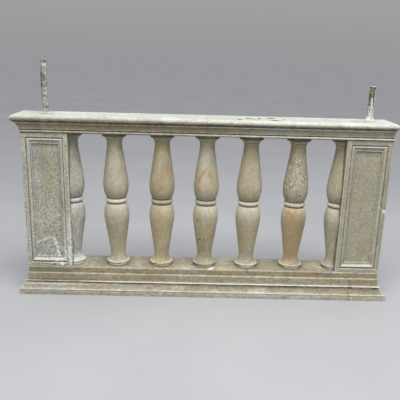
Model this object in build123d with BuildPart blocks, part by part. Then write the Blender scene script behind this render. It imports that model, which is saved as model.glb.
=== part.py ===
"""A stone balustrade: one free-standing bay of turned balusters between two panelled piers.

Millimetres, +Z up. The origin is the centre of the base's underside. X runs along the
balustrade, the front faces -Y, and every moulding returns around both ends.
"""
from build123d import *
import os

# ---- setting out ---------------------------------------------------------------------------
pier_width = 225
pier_depth = 160
rise_height = 685  # piers and balusters, from the base's top to the coping's bed
baluster_count = 5
baluster_spacing = 225
centre_shift = 5  # the pipes stand this much nearer the ends than the pier centres

# ---- base ----------------------------------------------------------------------------------
footing_height = 57  # lower course: a block, a hollow flare and a top fillet
block_height = 23
block_reach = 41.5  # how far a member stands out from the pier faces
bead_reach = 39.5
bead_height = 6
flare_foot_reach = 36
footing_fillet_height = 6
footing_fillet_reach = 14
footing_joint_offset = 75  # the joint between the footing stones, outside the right opening's end

plinth_height = 83  # upper course: a drip fillet and two plain bands
quirk_height = 4
quirk_reach = 9
drip_height = 6
drip_reach = 14
lower_band_height = 41
lower_band_reach = 5.5
upper_band_reach = 1
left_joint_offset = 70  # the plinth's joints, inside the ends of the opening
right_joint_offset = 13

# ---- coping --------------------------------------------------------------------------------
coping_height = 85
bed_height = 5
bed_reach = 1.5
coping_fillet_height = 8
coping_quirk_height = 4
hollow_height = 28  # the concave band under the nose
neck_height = 7  # the narrow fillet between the band and the nose
coping_joint = -8
front_reach = dict(fillet=9, hollow=5.5, neck=13, nose=23)
left_reach = dict(fillet=11, hollow=8, neck=21, nose=42)
right_reach = dict(fillet=4, hollow=2.5, neck=6, nose=12)
hollow_sag = 3  # how far the band curves in
neck_step = 2

# ---- pier panels ---------------------------------------------------------------------------
stile_width = 22.5  # flat border beside the panel
rail_height = 22  # flat border above and below it
stile_moulding = 29
rail_moulding = 36
panel_depth = 15
groove_depth = 5
crest_depth = 0.6
slope_depth = 8
panel_bead_height = 2.5
groove_share = 0.12  # where each member ends, as a share of the moulding's width
crest_share = 0.26
slope_share = 0.72
bead_rise_share = 0.77
bead_fall_share = 0.83
bead_share = 0.88

# ---- balusters -----------------------------------------------------------------------------
baluster_shifts = (-5, 2, 1, -5, 5)  # how far each one was set off its even place
half_inset = 4.5  # a half baluster's axis lies this far inside its pier
disc_radius = 60
disc_rounding = 3
ring_radius = 56
ring_height = 22
ring_quirk_height = 4.5
ring_quirk_radius = 48.5
vase_end_radius = 51
belly_radius = 64
belly_rise = 76  # from the ring's middle
shoulder_height = 40  # the bulge, from the belly to the straight taper
throat_height = 22  # the hollow, from the taper to the neck
neck_radius = 38
neck_offset = 57.5  # from the neck's start to the baluster's end
flare_inset = 4  # a neck's flare meets its disc this far inside the rim
lower_disc_height = 15
lower_flare_height = 37.5
upper_disc_height = 16
upper_flare_height = 28.5
step_drop = 11.5  # from the upper disc down to the small step in its flare
step_radius = 43
step_width = 2.5

# ---- iron pipes ----------------------------------------------------------------------------
pipe_radius = 16.5
pipe_wall = 3.5
pipe_socket_depth = 60
pipe_clearance = 0.3
left_pipe_height = 250  # above the coping
right_pipe_height = 170
mound_spread = 17.2  # from the pipe's hole to the mound's edge
mound_lip = 3.2  # the flat at its top
mound_height = 14

# ---- worked-out levels and lengths ---------------------------------------------------------
plinth_level = footing_height
base_level = footing_height + plinth_height
bed_level = base_level + rise_height
top_level = bed_level + coping_height
inner_half = (baluster_count + 1) * baluster_spacing / 2
outer_half = inner_half + pier_width
half_depth = pier_depth / 2
ring_level = base_level + rise_height / 2
pier_centre = inner_half + pier_width / 2
pipe_place = pier_centre + centre_shift
footing_joint = inner_half + footing_joint_offset
left_joint = left_joint_offset - inner_half
right_joint = inner_half - right_joint_offset

os.makedirs("parts", exist_ok=True)


def save(piece, label):
    """Name a finished piece and write it out."""
    piece.part.label = label
    export_step(piece.part, f"parts/{label}.step")


# ---- base courses --------------------------------------------------------------------------
def footing_edge(face, side):
    """Half of the footing's section, from the ground up; side is -1 or 1."""
    flare_top = footing_height - footing_fillet_height
    flare_foot = block_height + bead_height
    Polyline(
        (0, 0),
        (side * (face + block_reach), 0),
        (side * (face + block_reach), block_height),
        (side * (face + bead_reach), block_height),
        (side * (face + bead_reach), flare_foot),
        (side * (face + flare_foot_reach), flare_foot),
    )
    TangentArc(
        (side * (face + footing_fillet_reach), flare_top),
        (side * (face + flare_foot_reach), flare_foot),
        tangent=(0, -1),
    )
    Polyline(
        (side * (face + footing_fillet_reach), flare_top),
        (side * (face + footing_fillet_reach), footing_height),
        (0, footing_height),
    )


def plinth_edge(face, side):
    """Half of the plinth's section, from the footing up; side is -1 or 1."""
    quirk_top = plinth_level + quirk_height
    drip_top = quirk_top + drip_height
    Polyline(
        (0, plinth_level),
        (side * (face + quirk_reach), plinth_level),
        (side * (face + quirk_reach), quirk_top),
        (side * (face + drip_reach), quirk_top),
        (side * (face + drip_reach), drip_top),
        (side * (face + lower_band_reach), drip_top),
        (side * (face + lower_band_reach), drip_top + lower_band_height),
        (side * (face + upper_band_reach), drip_top + lower_band_height),
        (side * (face + upper_band_reach), base_level),
        (0, base_level),
    )


def course(edge):
    """A base course with its moulding returned around all four sides."""
    with BuildPart() as stone:
        with BuildSketch(Plane.YZ):
            with BuildLine():
                edge(half_depth, -1)
                edge(half_depth, 1)
            make_face()
        extrude(amount=outer_half + 2 * block_reach, both=True)
        with BuildSketch(Plane.XZ):
            with BuildLine():
                edge(outer_half, -1)
                edge(outer_half, 1)
            make_face()
        extrude(amount=half_depth + 2 * block_reach, both=True, mode=Mode.INTERSECT)
    return stone


def stone_between(whole, low, high):
    """The stretch of a course between two joints; None leaves that end as it is."""
    with BuildPart() as stone:
        add(whole.part)
        if low is not None:
            split(bisect_by=Plane.YZ.offset(low), keep=Keep.TOP)
        if high is not None:
            split(bisect_by=Plane.YZ.offset(high), keep=Keep.BOTTOM)
    return stone


footing = course(footing_edge)
save(stone_between(footing, None, footing_joint), "footing_left")
save(stone_between(footing, footing_joint, None), "footing_right")

plinth = course(plinth_edge)
save(stone_between(plinth, None, left_joint), "plinth_left")
save(stone_between(plinth, left_joint, right_joint), "plinth_middle")
save(stone_between(plinth, right_joint, None), "plinth_right")


# ---- piers ---------------------------------------------------------------------------------
def panel_sinking(face):
    """What is cut out of a pier's face: groove, crest, slope, bead and the flat sunken field."""
    bead_depth = slope_depth - panel_bead_height
    steps = (
        ((groove_share, groove_depth), (crest_share, crest_depth), Mode.SUBTRACT),
        ((crest_share, crest_depth), (slope_share, slope_depth), Mode.ADD),
        ((slope_share, slope_depth), (bead_rise_share, bead_depth), Mode.SUBTRACT),
        ((bead_fall_share, bead_depth), (bead_share, slope_depth), Mode.ADD),
        ((bead_share, slope_depth), (1, panel_depth), Mode.ADD),
    )
    with BuildPart() as sinking:
        with BuildSketch(face):
            Rectangle(pier_width - 2 * stile_width, rise_height - 2 * rail_height)
        extrude(amount=-groove_depth)
        for outer, inner, mode in steps:
            for share, depth in (outer, inner):
                with BuildSketch(face.offset(-depth)):
                    Rectangle(
                        pier_width - 2 * (stile_width + share * stile_moulding),
                        rise_height - 2 * (rail_height + share * rail_moulding),
                    )
            loft(ruled=True, mode=mode)
    return sinking


for side, label in ((-1, "pier_left"), (1, "pier_right")):
    middle = base_level + rise_height / 2
    front = Plane(origin=(side * pier_centre, -half_depth, middle), x_dir=(1, 0, 0), z_dir=(0, -1, 0))
    back = Plane(origin=(side * pier_centre, half_depth, middle), x_dir=(-1, 0, 0), z_dir=(0, 1, 0))
    front_sinking = panel_sinking(front)
    back_sinking = panel_sinking(back)
    with BuildPart() as pier:
        with BuildSketch(Plane.XY.offset(base_level)):
            with Locations((side * pier_centre, 0)):
                Rectangle(pier_width, pier_depth)
        extrude(amount=rise_height)
        add(front_sinking.part, mode=Mode.SUBTRACT)
        add(back_sinking.part, mode=Mode.SUBTRACT)
    save(pier, label)


# ---- balusters -----------------------------------------------------------------------------
def vase(at, way):
    """A vase's outline from the ring to the neck; at(radius, rise) is a point of the outline."""
    ring_end = ring_height / 2
    vase_end = ring_end + ring_quirk_height
    neck_start = rise_height / 2 - neck_offset
    taper_length = neck_start - belly_rise - (shoulder_height + throat_height) / 2
    taper = (belly_radius - neck_radius) / taper_length
    belly = at(belly_radius, belly_rise)
    shoulder = at(belly_radius - taper * shoulder_height / 2, belly_rise + shoulder_height)
    throat = at(neck_radius + taper * throat_height / 2, neck_start - throat_height)
    TangentArc(at(ring_radius, 0), at(ring_quirk_radius, ring_end), tangent=(0, way))
    Polyline(
        at(ring_quirk_radius, ring_end),
        at(ring_quirk_radius, vase_end),
        at(vase_end_radius, vase_end),
    )
    TangentArc(belly, at(vase_end_radius, vase_end), tangent=(0, -way))
    TangentArc(belly, shoulder, tangent=(0, way))
    Line(shoulder, throat)
    TangentArc(at(neck_radius, neck_start), throat, tangent=(0, -way))


def disc(at, way, height):
    """The disc at a baluster's end, from its flare to the axis."""
    end = rise_height / 2
    start = end - height
    Line(at(disc_radius - flare_inset, start), at(disc_radius - disc_rounding, start))
    TangentArc(
        at(disc_radius, start + disc_rounding),
        at(disc_radius - disc_rounding, start),
        tangent=(0, -way),
    )
    Polyline(at(disc_radius, start + disc_rounding), at(disc_radius, end), at(0, end))


def lower_half(place):
    """The lower half of the outline, with a plain flare on to the foot disc."""
    def at(radius, rise):
        return (place + radius, ring_level - rise)

    flare_end = rise_height / 2 - lower_disc_height
    flare_start = flare_end - lower_flare_height
    vase(at, -1)
    Line(at(neck_radius, rise_height / 2 - neck_offset), at(neck_radius, flare_start))
    TangentArc(at(neck_radius, flare_start), at(disc_radius - flare_inset, flare_end), tangent=(0, -1))
    disc(at, -1, lower_disc_height)


def upper_half(place):
    """The upper half of the outline, whose shorter flare has a small step in it."""
    def at(radius, rise):
        return (place + radius, ring_level + rise)

    flare_end = rise_height / 2 - upper_disc_height
    flare_start = flare_end - upper_flare_height
    step_rise = flare_end - step_drop
    vase(at, 1)
    Line(at(neck_radius, rise_height / 2 - neck_offset), at(neck_radius, flare_start))
    TangentArc(at(neck_radius, flare_start), at(step_radius, step_rise), tangent=(0, 1))
    Line(at(step_radius, step_rise), at(step_radius + step_width, step_rise))
    TangentArc(
        at(step_radius + step_width, step_rise),
        at(disc_radius - flare_inset, flare_end),
        tangent=(0, 1),
    )
    disc(at, 1, upper_disc_height)


def baluster(place):
    """A whole turned baluster standing at X = place."""
    with BuildPart() as turned:
        with BuildSketch(Plane.XZ):
            with BuildLine():
                upper_half(place)
                lower_half(place)
                Line((place, base_level), (place, bed_level))
            make_face()
        revolve(axis=Axis((place, 0, 0), (0, 0, 1)), revolution_arc=360)
    return turned


for number in range(baluster_count):
    even_place = (number - (baluster_count - 1) / 2) * baluster_spacing
    shift = baluster_shifts[number % len(baluster_shifts)]
    save(baluster(even_place + shift), f"baluster_{number + 1}")

for side, label in ((-1, "half_baluster_left"), (1, "half_baluster_right")):
    whole = baluster(side * (inner_half + half_inset))
    inward = Keep.TOP if side < 0 else Keep.BOTTOM
    with BuildPart() as half:
        add(whole.part)
        split(bisect_by=Plane.YZ.offset(side * inner_half), keep=inward)
    save(half, label)


# ---- coping --------------------------------------------------------------------------------
def coping_edge(face, side, reach):
    """Half of the coping's section, from its bed up to its flat top; side is -1 or 1."""
    fillet_level = bed_level + bed_height
    quirk_level = fillet_level + coping_fillet_height
    hollow_level = quirk_level + coping_quirk_height
    neck_level = hollow_level + hollow_height
    nose_level = neck_level + neck_height
    nose_radius = (top_level - nose_level) / 2
    nose_start = face + reach["nose"] - nose_radius
    hollow_foot = face + reach["hollow"]
    hollow_head = face + reach["neck"] - neck_step
    Polyline(
        (0, bed_level),
        (side * (face + bed_reach), bed_level),
        (side * (face + bed_reach), fillet_level),
        (side * (face + reach["fillet"]), fillet_level),
        (side * (face + reach["fillet"]), quirk_level),
        (side * hollow_foot, quirk_level),
        (side * hollow_foot, hollow_level),
    )
    ThreePointArc(
        (side * hollow_foot, hollow_level),
        (side * ((hollow_foot + hollow_head) / 2 - hollow_sag), (hollow_level + neck_level) / 2),
        (side * hollow_head, neck_level),
    )
    Polyline(
        (side * hollow_head, neck_level),
        (side * (face + reach["neck"]), neck_level),
        (side * (face + reach["neck"]), nose_level),
        (side * nose_start, nose_level),
    )
    ThreePointArc(
        (side * nose_start, nose_level),
        (side * (nose_start + nose_radius), nose_level + nose_radius),
        (side * nose_start, top_level),
    )
    Line((side * nose_start, top_level), (0, top_level))


with BuildPart() as coping:
    with BuildSketch(Plane.YZ):
        with BuildLine():
            coping_edge(half_depth, -1, front_reach)
            coping_edge(half_depth, 1, front_reach)
        make_face()
    extrude(amount=outer_half + 2 * left_reach["nose"], both=True)
    with BuildSketch(Plane.XZ):
        with BuildLine():
            coping_edge(outer_half, -1, left_reach)
            coping_edge(outer_half, 1, right_reach)
        make_face()
    extrude(amount=half_depth + 2 * front_reach["nose"], both=True, mode=Mode.INTERSECT)
    with Locations((-pipe_place, 0, top_level), (pipe_place, 0, top_level)):
        Hole(radius=pipe_radius + pipe_clearance, depth=pipe_socket_depth)

save(stone_between(coping, None, coping_joint), "coping_left")
save(stone_between(coping, coping_joint, None), "coping_right")


# ---- iron pipes in their mortar ------------------------------------------------------------
def pipe(place, height):
    """A pipe leaded into the coping, standing on the floor of its socket."""
    with BuildPart() as tube:
        with BuildSketch(Plane.XY.offset(top_level - pipe_socket_depth)):
            with Locations((place, 0)):
                Circle(pipe_radius)
                Circle(pipe_radius - pipe_wall, mode=Mode.SUBTRACT)
        extrude(amount=pipe_socket_depth + height)
    return tube


def mound(place):
    """The collar of mortar trowelled round a pipe's foot."""
    inside = place + pipe_radius + pipe_clearance
    mound_top = top_level + mound_height
    with BuildPart() as collar:
        with BuildSketch(Plane.XZ):
            with BuildLine():
                Polyline(
                    (inside + mound_lip, mound_top),
                    (inside, mound_top),
                    (inside, top_level),
                    (inside + mound_spread, top_level),
                )
                TangentArc(
                    (inside + mound_lip, mound_top),
                    (inside + mound_spread, top_level),
                    tangent=(1, 0),
                )
            make_face()
        revolve(axis=Axis((place, 0, 0), (0, 0, 1)), revolution_arc=360)
    return collar


save(pipe(-pipe_place, left_pipe_height), "pipe_left")
save(pipe(pipe_place, right_pipe_height), "pipe_right")
save(mound(-pipe_place), "pipe_mortar_left")
save(mound(pipe_place), "pipe_mortar_right")
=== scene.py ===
"""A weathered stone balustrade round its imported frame.

Every stone is a mesh of its own: the same mouldings as the frame's, with worn arrises, chips
and an uneven face. Metres, in the frame's axes: X along the balustrade, the front faces -Y.
"""
import math
import bpy
import numpy as np
from mathutils import Matrix, Vector


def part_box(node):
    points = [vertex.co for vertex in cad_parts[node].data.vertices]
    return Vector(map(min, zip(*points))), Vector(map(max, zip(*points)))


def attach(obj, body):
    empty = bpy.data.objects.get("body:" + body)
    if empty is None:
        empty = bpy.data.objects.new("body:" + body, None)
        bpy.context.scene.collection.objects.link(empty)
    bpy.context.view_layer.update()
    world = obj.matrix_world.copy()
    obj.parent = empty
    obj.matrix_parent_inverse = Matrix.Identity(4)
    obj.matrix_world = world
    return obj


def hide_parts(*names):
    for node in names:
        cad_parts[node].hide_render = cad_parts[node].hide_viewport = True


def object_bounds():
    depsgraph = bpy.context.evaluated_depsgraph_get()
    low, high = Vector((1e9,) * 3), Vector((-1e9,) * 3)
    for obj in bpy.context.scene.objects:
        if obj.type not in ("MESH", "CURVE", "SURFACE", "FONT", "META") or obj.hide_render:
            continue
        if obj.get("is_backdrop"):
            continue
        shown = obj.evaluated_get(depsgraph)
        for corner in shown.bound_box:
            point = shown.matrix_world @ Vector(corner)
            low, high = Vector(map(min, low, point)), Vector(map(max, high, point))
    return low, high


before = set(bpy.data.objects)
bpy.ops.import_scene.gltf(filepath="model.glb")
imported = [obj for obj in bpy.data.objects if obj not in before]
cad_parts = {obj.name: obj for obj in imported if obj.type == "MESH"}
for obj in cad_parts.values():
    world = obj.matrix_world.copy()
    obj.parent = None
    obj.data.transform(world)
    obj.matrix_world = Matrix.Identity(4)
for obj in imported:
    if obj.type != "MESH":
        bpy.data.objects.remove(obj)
cad_low, cad_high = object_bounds()
MM = 0.001
HAIR = 0.5 * MM  # the height over which a tone changes at an arris

# ---- levels and lengths, from the frame ------------------------------------------------------
base_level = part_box("pier_left")[0].z
bed_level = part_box("pier_left")[1].z
top_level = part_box("coping_left")[1].z
plinth_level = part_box("plinth_middle")[0].z
inner_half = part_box("pier_right")[0].x
outer_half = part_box("pier_right")[1].x
half_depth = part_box("pier_right")[1].y
ring_level = (base_level + bed_level) / 2
half_rise = (bed_level - base_level) / 2
whole_balusters = [name for name in sorted(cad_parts) if name.startswith("baluster")]


def middle_x(node):
    """The X of a node's middle."""
    low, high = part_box(node)
    return (low.x + high.x) / 2


# ---- noise -----------------------------------------------------------------------------------
LATTICE_FACTORS = (374761393, 668265263, 1442695041)
SEED_FACTOR = 40503
MIXING = ((15, 2246822519), (13, 3266489917))
WORD, HALF_WORD = 0xFFFFFFFF, 0xFFFF


def lattice(cell, seed):
    """A repeatable value from 0 to 1 for each whole-number point."""
    mixed = sum(cell[:, axis] * factor for axis, factor in enumerate(LATTICE_FACTORS))
    mixed = (mixed + seed * SEED_FACTOR) & WORD
    for shift, factor in MIXING:
        mixed = ((mixed ^ (mixed >> shift)) * factor) & WORD
    return ((mixed ^ (mixed >> 16)) & HALF_WORD) / HALF_WORD


def noise(points, size, seed):
    """Smooth noise from -1 to 1 whose lumps are about `size` metres across."""
    scaled = points / size
    cell = np.floor(scaled).astype(np.int64)
    part = scaled - cell
    part = part * part * (3 - 2 * part)
    total = np.zeros(len(points))
    for corner in np.ndindex(2, 2, 2):
        weight = np.prod(np.where(corner, part, 1 - part), axis=1)
        total += weight * lattice(cell + corner, seed)
    return 2 * total - 1


# ---- outlines --------------------------------------------------------------------------------
def arc(start, end, steps):
    """Points after start of an arc that leaves it vertically and ends at end."""
    across, up = end[0] - start[0], end[1] - start[1]
    radius = (across**2 + up**2) / (2 * abs(across))
    whole = 2 * math.atan2(abs(across), abs(up))
    angles = whole * np.arange(1, steps + 1) / steps
    return [
        (
            start[0] + math.copysign(radius, across) * (1 - math.cos(a)),
            start[1] + math.copysign(radius, up) * math.sin(a),
        )
        for a in angles
    ]


def uprights(*faces):
    """The outline of upright faces on top of each other, each a reach, a foot and a top."""
    return [(reach, level) for reach, foot, top in faces for level in (foot, top)]


CORNER_TURN = math.radians(25)
CORNER_SHARE, CORNER_POINTS = 0.45, 5
TIGHT_GAP, SAME_PLACE = 2.5 * MM, 1e-6
EDGE_REACH, HOLLOW_REACH = 2.5 * MM, 2 * MM


def bends(points):
    """The length of each stretch of an outline, and how far it turns at each point, in radians."""
    steps = np.diff(points[:, :2], axis=0)
    lengths = np.hypot(steps[:, 0], steps[:, 1])
    headings = steps / lengths[:, None]
    crossed = headings[:-1, 0] * headings[1:, 1] - headings[:-1, 1] * headings[1:, 0]
    along = (headings[:-1] * headings[1:]).sum(1)
    return lengths, np.concatenate([[0], np.arctan2(crossed, along), [0]])


def refine(points, rounding, spacing):
    """An outline with rounded outer corners and close points.

    The first two numbers of a point are its place in the section, which is walked with the
    stone on its left; more numbers may follow. Returns the points, how far each one lies on
    an outer corner and how far in an inner one.
    """
    points = np.array(points, float)
    lengths, turns = bends(points)
    made, tight = [points[0]], [True]
    for k in range(1, len(points)):
        corner = k < len(points) - 1 and abs(turns[k]) > CORNER_TURN
        if corner and turns[k] > 0:
            near = lengths[k - 1:k + 1]
            before, after = np.minimum(rounding, near * CORNER_SHARE) / near
            a = points[k] + (points[k - 1] - points[k]) * before
            c = points[k] + (points[k + 1] - points[k]) * after
            for t in np.linspace(0, 1, CORNER_POINTS):
                made.append((1 - t) ** 2 * a + 2 * t * (1 - t) * points[k] + t * t * c)
                tight.append(True)
        else:
            made.append(points[k])
            tight.append(corner)
    dense = [made[0]]
    for k in range(1, len(made)):
        step = made[k] - made[k - 1]
        gap = np.hypot(*step[:2])
        narrow = gap > TIGHT_GAP and (tight[k - 1] or tight[k])
        parts = max(math.ceil(gap / spacing), 3 if narrow else 1)
        dense += [made[k - 1] + step * t for t in np.arange(1, parts + 1) / parts]
    dense = np.array(dense)
    moved = np.hypot(*np.diff(dense[:, :2], axis=0).T) > SAME_PLACE
    dense = dense[np.concatenate([[True], moved])]
    lengths, turns = bends(dense)
    quarters = turns / (math.pi / 2)
    where = np.concatenate([[0], np.cumsum(lengths)])
    apart = np.abs(where[:, None] - where[None, :])
    edge = (np.exp(-apart / EDGE_REACH) * np.clip(quarters, 0, None)).sum(1)
    hollow = (np.exp(-apart / HOLLOW_REACH) * np.clip(-quarters, 0, None)).sum(1)
    return dense, np.clip(edge, 0, 1), np.clip(hollow, 0, 1)


# ---- meshes as arrays ------------------------------------------------------------------------
# Each point's layers: its stains, and painted light and shade carried by shade, pale and dark.
STAINS_AND_SHADE = ("shade", "warm", "grit", "ochre", "green", "pale", "dark", "piece")
WAVE_SIZE, DENT_SIZE, GRAIN_SIZE, CHIP_SIZE = 90 * MM, 30 * MM, 7 * MM, 20 * MM
WORN_DEPTH = 0.35 * MM
MARK_DEPTH = 60 * MM
SHARP_ANGLE = math.radians(50)


def add_object(name, data):
    """A new object in the scene."""
    thing = bpy.data.objects.new(name, data)
    bpy.context.scene.collection.objects.link(thing)
    return thing


class Shape:
    """A mesh being made: its points, its faces, and each point's wear, shelter, stains
    and painted light and shade.
    """

    def __init__(self, points, faces, edge, hollow):
        self.points = np.array(points, float)
        self.faces = faces
        self.edge = np.array(edge, float)
        self.hollow = np.array(hollow, float)
        self.stains_and_shade = {kind: np.zeros(len(self.points)) for kind in STAINS_AND_SHADE}

    def normals(self):
        """The facing of each point, from its faces by their area."""
        total = np.zeros_like(self.points)
        for group in self.faces:
            for k in range(1, group.shape[1] - 1):
                a, b, c = (self.points[group[:, i]] for i in (0, k, k + 1))
                facing = np.cross(b - a, c - a)
                for i in (0, k, k + 1):
                    for axis in range(3):
                        total[:, axis] += np.bincount(group[:, i], facing[:, axis], len(total))
        return total / np.maximum(np.linalg.norm(total, axis=1), 1e-12)[:, None]

    def push(self, distance):
        """Move each point outwards by its distance, or inwards where that is negative."""
        self.points = self.points + self.normals() * distance[:, None]

    def weather(self, seed, number=0, wave=0.5 * MM, grain=0.15 * MM, chips=1.5 * MM):
        """Wear the face and break the arrises, differently for each numbered piece."""
        seed = seed + 10 * number
        self.stains_and_shade["piece"] += number
        p = self.points
        sunk = wave * (noise(p, WAVE_SIZE, seed) - 1) / 2
        sunk += wave * (noise(p, DENT_SIZE, seed + 1) - 1) / 3
        sunk += grain * (noise(p, GRAIN_SIZE, seed + 2) - 1) / 2
        broken = noise(p, CHIP_SIZE, seed + 3) + 0.6 * noise(p, CHIP_SIZE / 3, seed + 4) - 0.35
        sunk -= chips * self.edge * np.clip(broken, 0, 1)
        sunk -= WORN_DEPTH * self.edge
        self.push(sunk)

    def bite(self, place, radius, depth, seed):
        """Break a piece out round a point, down to paler stone."""
        apart = np.linalg.norm(self.points - np.array(place), axis=1)
        apart = apart * (1 + 0.35 * noise(self.points, radius * 0.6, seed))
        share = np.clip(1 - (apart / radius) ** 2, 0, 1)
        self.push(-depth * np.sqrt(share))
        self.stains_and_shade["pale"] = np.maximum(self.stains_and_shade["pale"], np.clip(share * 2, 0, 1) * 0.5)

    def stain(self, kind, place, size, strength):
        """A soft patch of a stain, or of painted shade: an ellipsoid of this half-size round a point."""
        reach = (self.points - np.array(place)) / np.array(size)
        self.stains_and_shade[kind] += strength * np.exp(-(reach**2).sum(1))

    def marks(self, kind, *patches):
        """Soft patches on the front: x, z, width and height in millimetres, and a strength."""
        for x, z, width, height, strength in patches:
            place = (x * MM, -half_depth, z * MM)
            self.stain(kind, place, (width * MM / 2, MARK_DEPTH, height * MM / 2), strength)

    def trace(self, kind, line, width, strength, depth=0.0):
        """A narrow mark along a line on the front, all in millimetres; a crack has some depth."""
        here = self.points[:, [0, 2]] / MM
        apart = np.full(len(here), np.inf)
        for start, end in zip(line[:-1], line[1:]):
            step = np.subtract(end, start)
            share = np.clip((here - start) @ step / (step @ step), 0, 1)
            apart = np.minimum(apart, np.linalg.norm(here - start - share[:, None] * step, axis=1))
        share = np.exp(-((apart / width) ** 2)) * (self.points[:, 1] < 0)
        self.stains_and_shade[kind] += strength * share
        if depth:
            self.push(-depth * MM * share)

    def band(self, kind, axis, low, high, strength, soft):
        """Set a stain, or painted shade, between two places along an axis, with soft limits."""
        place = self.points[:, axis]
        share = np.clip((place - low) / soft + 0.5, 0, 1) * np.clip((high - place) / soft + 0.5, 0, 1)
        self.stains_and_shade[kind] += (strength - self.stains_and_shade[kind]) * share

    def levels(self, kind, steps):
        """Add a stain or painted light and shade, value to value upwards; a step is a level and a value."""
        self.stains_and_shade[kind] += np.interp(self.points[:, 2], *zip(*steps))

    def build(self, name, material, slot, node):
        """The finished Blender piece, which stands for a node of the frame."""
        mesh = bpy.data.meshes.new(name)
        self.points = np.clip(self.points, np.array(cad_low), np.array(cad_high))
        faces = [face for group in self.faces for face in group.tolist()]
        mesh.from_pydata(self.points.tolist(), [], faces)
        mesh.validate()
        # up is the facing, by which the materials paint shade on faces that face down.
        layers = {"edge": self.edge, "hollow": self.hollow, "up": self.normals()[:, 2], **self.stains_and_shade}
        for kind, values in layers.items():
            values = values if kind == "piece" else np.clip(values, -1, 1)
            layer = mesh.attributes.new(kind, "FLOAT", "POINT")
            layer.data.foreach_set("value", values.astype(np.float32))
        mesh.shade_smooth()
        mesh.set_sharp_from_angle(angle=SHARP_ANGLE)
        mesh.materials.append(material)
        piece = add_object(name, mesh)
        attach(piece, "root")
        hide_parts(node)


ARRIS_REACH = 3 * MM


def side(low, high, first, last, count):
    """One side of a rounded rectangle: where its points lie along it and how far inside it."""
    turn = np.radians([45, 22.5, 0])
    back, rise = 1 - np.sin(turn), 1 - np.cos(turn)
    middle = np.linspace(low + first, high - last, count - 3)[1:-1]
    along = np.concatenate([low + first * back, middle, (high - last * back)[::-1]])
    inset = np.concatenate([first * rise, np.zeros(len(middle)), (last * rise)[::-1]])
    return along, inset


def stack(rings, edge, hollow, counts, corner, order=(0, 1, 2), worn=(1, 1)):
    """A closed mesh of rounded rectangles stacked along w.

    A ring is u_low, u_high, v_low, v_high, w; corner is the rounding at u_low and at u_high,
    and worn says whether the arrises there wear; order says which axes of the frame u, v and
    w are.
    """
    nu, nv = counts
    turn = 2 * (nu + nv)
    points, edges, hollows = [], [], []
    for (u0, u1, v0, v1, w), e, h in zip(rings, edge, hollow):
        along, inset = side(u0, u1, *corner, nu)
        low_v, low_inset = side(v0, v1, corner[0], corner[0], nv)
        high_v, high_inset = side(v0, v1, corner[1], corner[1], nv)
        front = np.stack([along[:-1], v0 + inset[:-1]], 1)
        right = np.stack([u1 - high_inset[:-1], high_v[:-1]], 1)
        back = np.stack([along[:0:-1], v1 - inset[:0:-1]], 1)
        left = np.stack([u0 + low_inset[:0:-1], low_v[:0:-1]], 1)
        loop = np.concatenate([front, right, back, left])
        near = sum(
            wear * np.exp(-np.hypot(loop[:, 0] - u, loop[:, 1] - v) / ARRIS_REACH)
            for u, wear in zip((u0, u1), worn) for v in (v0, v1)
        )
        points.append(np.concatenate([loop, np.full((turn, 1), w)], 1))
        edges.append(np.clip(e + near, 0, 1))
        hollows.append(np.full(turn, h))
    total = len(rings)
    index = np.arange(turn)
    quads = []
    for k in range(total - 1):
        a = k * turn + index
        b = k * turn + (index + 1) % turn
        quads.append(np.stack([a, b, b + turn, a + turn], 1))
    count = total * turn
    inner = (nu - 1) * (nv - 1)
    for k, flip in ((0, True), (total - 1, False)):
        ring = points[k]
        first = k * turn
        grid = np.zeros((nu + 1, nv + 1), int)
        grid[:, 0] = first + np.arange(nu + 1)
        grid[nu, :] = first + nu + np.arange(nv + 1)
        grid[:, nv] = first + nu + nv + np.arange(nu + 1)[::-1]
        grid[0, 1:] = first + 2 * nu + nv + np.arange(nv)[::-1]
        grid[0, 0] = first
        grid[1:nu, 1:nv] = count + np.arange(inner).reshape(nu - 1, nv - 1)
        count += inner
        v_low, v_high = ring[nu, 1], ring[nu + nv, 1]
        share = ((ring[nu:nu + nv, 1] - v_low) / (v_high - v_low))[1:]
        v = ring[0, 1] + (v_high - ring[0, 1]) * share
        uu, vv = np.meshgrid(ring[1:nu, 0], v, indexing="ij")
        points.append(np.stack([uu.ravel(), vv.ravel(), np.full(inner, ring[0, 2])], 1))
        edges.append(np.zeros(inner))
        hollows.append(np.zeros(inner))
        a, b, c, d = grid[:-1, :-1], grid[1:, :-1], grid[1:, 1:], grid[:-1, 1:]
        quads.append(np.stack([x.ravel() for x in ((a, d, c, b) if flip else (a, b, c, d))], 1))
    local = np.concatenate(points)
    placed = np.empty_like(local)
    placed[:, list(order)] = local
    faces = np.concatenate(quads)
    if np.linalg.det(np.eye(3)[list(order)]) < 0:
        faces = faces[:, ::-1]
    return Shape(placed, [faces], np.concatenate(edges), np.concatenate(hollows))


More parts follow.
